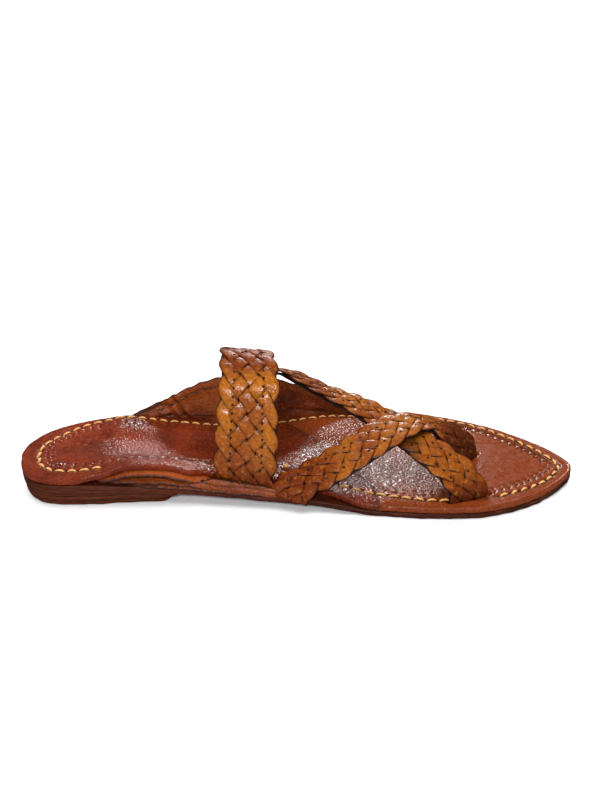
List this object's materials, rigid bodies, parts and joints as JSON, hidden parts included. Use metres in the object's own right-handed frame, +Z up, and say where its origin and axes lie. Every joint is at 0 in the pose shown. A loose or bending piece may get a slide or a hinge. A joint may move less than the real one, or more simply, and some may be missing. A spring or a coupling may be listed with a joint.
{
  "type": "kolhapuri sandal",
  "caption": "Left flat leather slip-on sandal with a pointed toe, stacked low heel, side ears, a braided instep band and crossing braided straps that end in a big-toe loop.",
  "frame": {"origin": "on the floor, in the middle of the sandal's length and width", "axes": "+X to the toe, +Y to the outer (lateral) side of the foot, +Z up"},
  "size_m": [0.285, 0.1012, 0.0696],
  "materials": {
    "sole_leather": "waxed, layered edge",
    "heel_leather": "stacked leather, burnished edge",
    "footbed_leather": "oiled and polished, fine grain",
    "ear_leather": "oiled, soft",
    "braid_leather": "polished laces"
  },
  "bodies": {
    "root": {"outsole": "sole_leather", "heel_lift_upper": "heel_leather", "heel_lift_lower": "heel_leather", "footbed": "footbed_leather", "ear_lateral": "ear_leather", "ear_medial": "ear_leather", "upper": "braid_leather"}
  },
  "joints": []
}
